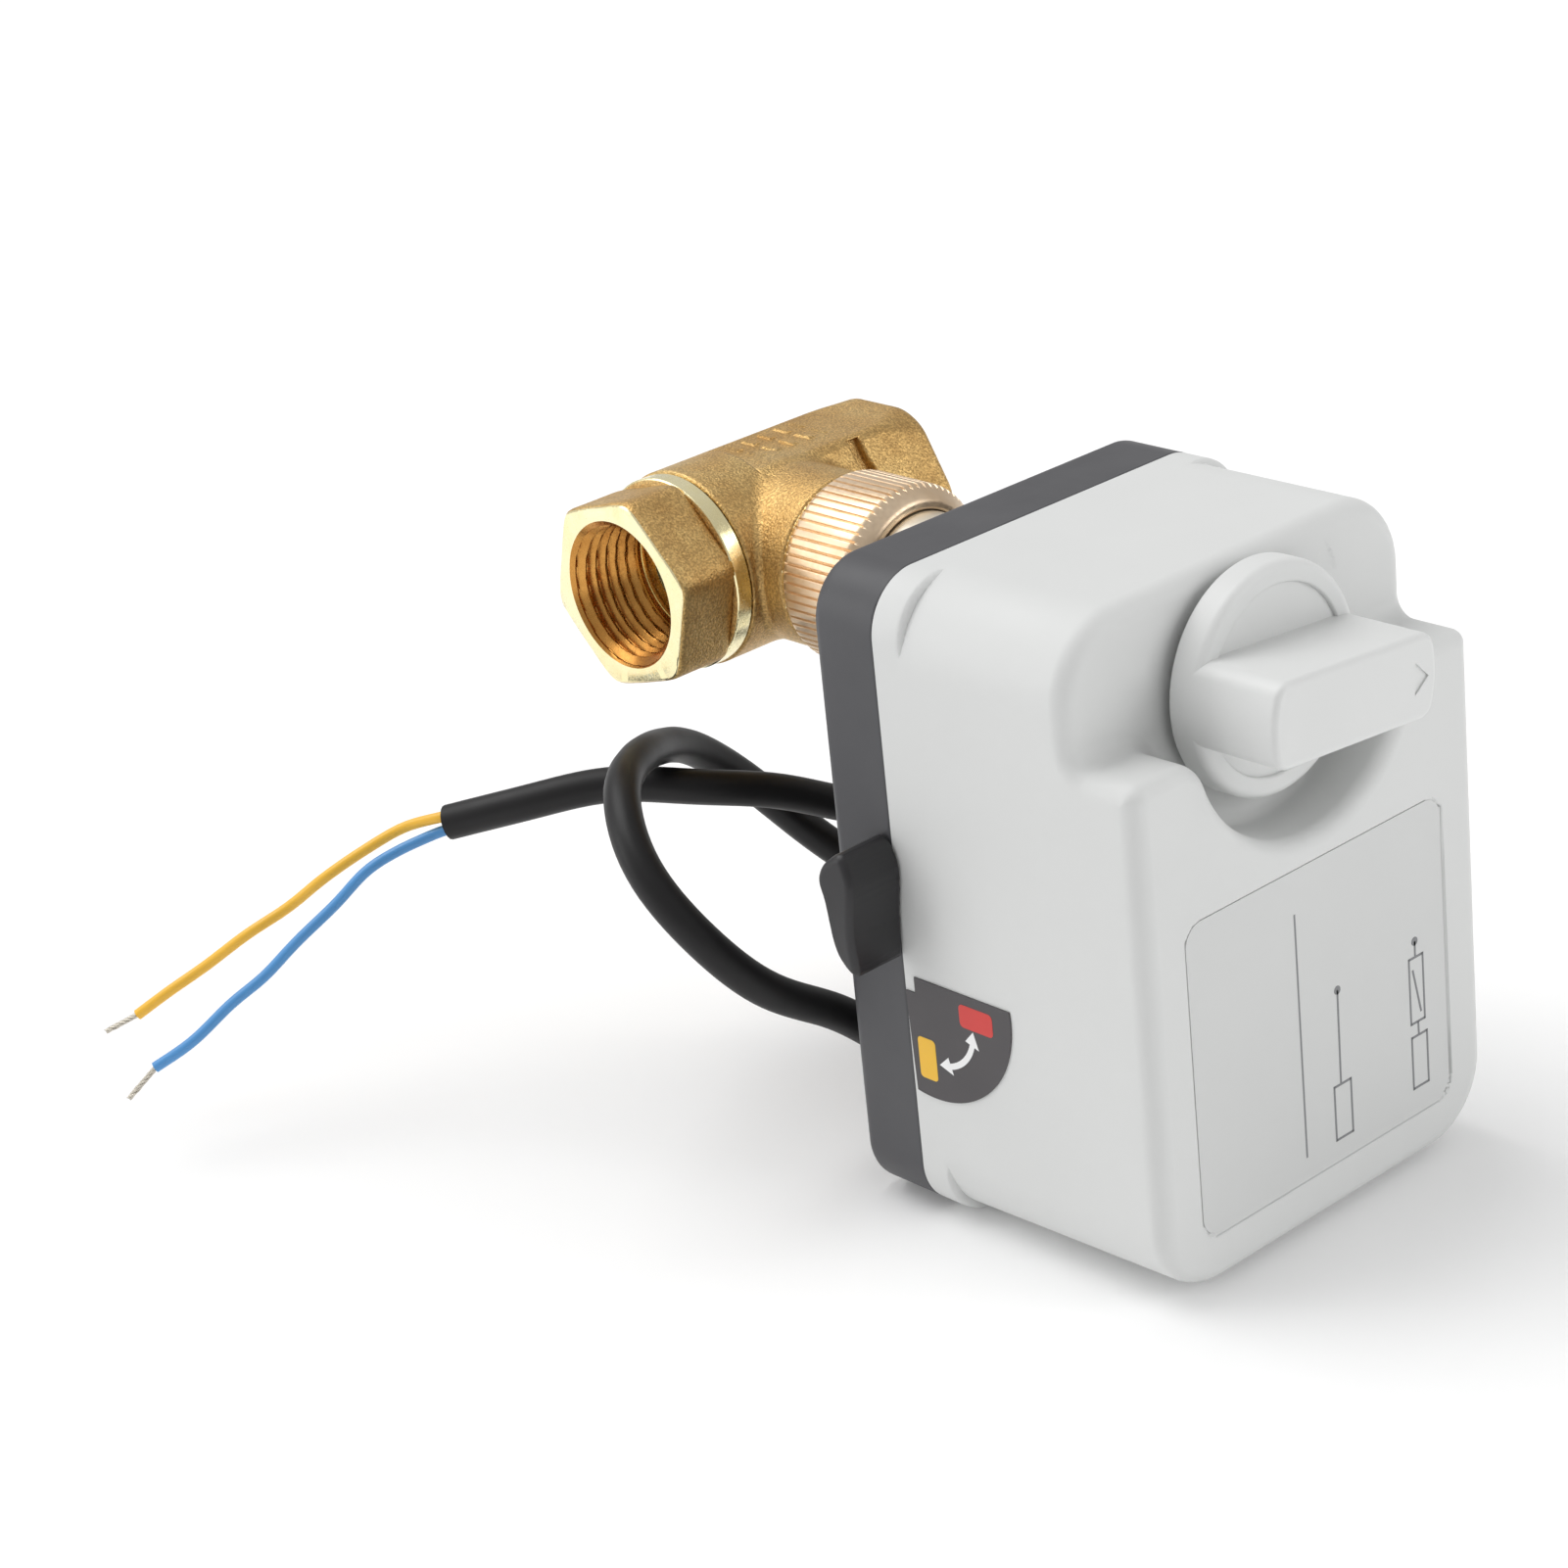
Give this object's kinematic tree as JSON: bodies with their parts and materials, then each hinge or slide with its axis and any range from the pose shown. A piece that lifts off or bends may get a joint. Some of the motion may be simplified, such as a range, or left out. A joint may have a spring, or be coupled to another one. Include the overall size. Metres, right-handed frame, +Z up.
{
  "type": "zone valve",
  "caption": "Motorised ball-type zone valve: straight brass body with female threads at both ends, union nut, actuator housing with hand knob, clutch lever and wired lead.",
  "frame": {"origin": "centre of the right-hand port's mouth, on the pipe axis", "axes": "+X along the pipe axis, out of the right-hand port; -Y along the stem, from the valve to the actuator's front; +Z up the actuator housing"},
  "size_m": [0.1223, 0.1658, 0.0904],
  "materials": {
    "cast_brass": "blasted hot-forged brass, bright where it is turned",
    "turned_brass": "turned brass",
    "ball_chrome": "polished chrome",
    "ptfe": "smooth white",
    "rubber_seal": "smooth rubber",
    "nickel": "turned and nickel plated",
    "spring_steel": "oiled spring steel",
    "zinc_steel": "zinc plated",
    "base_plastic": "fine spark texture",
    "cover_plastic": "fine matte texture",
    "label_film": "satin film",
    "mode_film": "satin film",
    "knob_plastic": "smooth matte",
    "lever_plastic": "fine matte",
    "gear_plastic": "smooth acetal",
    "motor_steel": "drawn steel can",
    "switch_plastic": "smooth",
    "board_green": "solder mask",
    "relay_blue": "smooth",
    "capacitor_yellow": "smooth",
    "terminal_green": "smooth",
    "cable_black": "matte PVC sheath",
    "wire_yellow": "PVC insulation",
    "wire_blue": "PVC insulation",
    "tinned_copper": "tinned strands"
  },
  "bodies": {
    "root": {"valve_body": "cast_brass", "end_adapter": "cast_brass", "ball_seats": "ptfe", "actuator_neck": "nickel", "neck_retaining_ring": "spring_steel", "neck_screws": "zinc_steel", "back_plate": "base_plastic", "front_cover": "cover_plastic", "cover_gasket": "rubber_seal", "cover_screws": "zinc_steel", "front_label": "label_film", "mode_label": "mode_film", "knob_shaft_oring": "rubber_seal", "yoke_guide_rods": "zinc_steel", "idler_arbor": "zinc_steel", "gear_plate": "zinc_steel", "output_bush": "turned_brass", "plate_screws": "zinc_steel", "motor_can": "motor_steel", "motor_flange": "zinc_steel", "motor_screws": "zinc_steel", "limit_switches": "switch_plastic", "switch_plungers": "ptfe", "switch_screws": "zinc_steel", "board_spacers": "turned_brass", "circuit_board": "board_green", "board_screws": "zinc_steel", "relay": "relay_blue", "capacitor": "capacitor_yellow", "terminal_block": "terminal_green", "cable_gland": "cable_black", "gland_nut": "cable_black", "cable_sheath": "cable_black", "wire_yellow": "wire_yellow", "wire_blue": "wire_blue", "wire_tips": "tinned_copper"},
    "drive": {"knob": "knob_plastic", "output_shaft": "nickel", "output_gear": "gear_plastic", "limit_cam": "gear_plastic", "valve_stem": "turned_brass", "stem_orings": "rubber_seal", "thrust_washer": "ptfe", "ball": "ball_chrome"},
    "lever": {"clutch_lever": "lever_plastic", "clutch_crank": "zinc_steel", "lever_oring": "rubber_seal"},
    "yoke": {"clutch_yoke": "zinc_steel"},
    "idler": {"idler_gear": "gear_plastic"},
    "motor_rotor": {"motor_pinion": "nickel"},
    "nut_carrier": {"nut_slip_washer": "ptfe"},
    "nut": {"union_nut": "turned_brass"}
  },
  "joints": [
    {"name": "output_turn", "type": "hinge", "parent": "root", "child": "drive", "pos_m": [-0.026, -0.06, 0], "axis": [0, -1, 0], "range_deg": [0, 90]},
    {"name": "lever_swing", "type": "hinge", "parent": "root", "child": "lever", "pos_m": [-0.058, -0.0552, -0.025], "axis": [-1, 0, 0], "range_deg": [0, 65]},
    {"name": "yoke_slide", "type": "slide", "parent": "root", "child": "yoke", "axis": [0, -1, 0], "range_m": [0, 0.00344]},
    {"name": "idler_turn", "type": "hinge", "parent": "yoke", "child": "idler", "pos_m": [-0.026, -0.058, -0.016], "axis": [0, -1, 0], "range_deg": [-210.2, 0]},
    {"name": "motor_turn", "type": "hinge", "parent": "root", "child": "motor_rotor", "pos_m": [-0.026, -0.064, -0.0285], "axis": [0, -1, 0], "range_deg": [0, 665.4]},
    {"name": "nut_turn", "type": "hinge", "parent": "nut_carrier", "child": "nut", "pos_m": [-0.026, -0.026, 0], "axis": [0, -1, 0], "range_deg": [0, 1260]},
    {"name": "nut_advance", "type": "slide", "parent": "root", "child": "nut_carrier", "axis": [0, -1, 0], "range_m": [0, 0.0053]}
  ],
  "couplings": [
    {"joint": "lever_swing", "follows": "yoke_slide", "rad_per_m": 329.79},
    {"joint": "idler_turn", "follows": "output_turn", "ratio": -2.3333},
    {"joint": "motor_turn", "follows": "output_turn", "ratio": 7.3889},
    {"joint": "nut_advance", "follows": "nut_turn", "m_per_rad": 0.00023873}
  ]
}
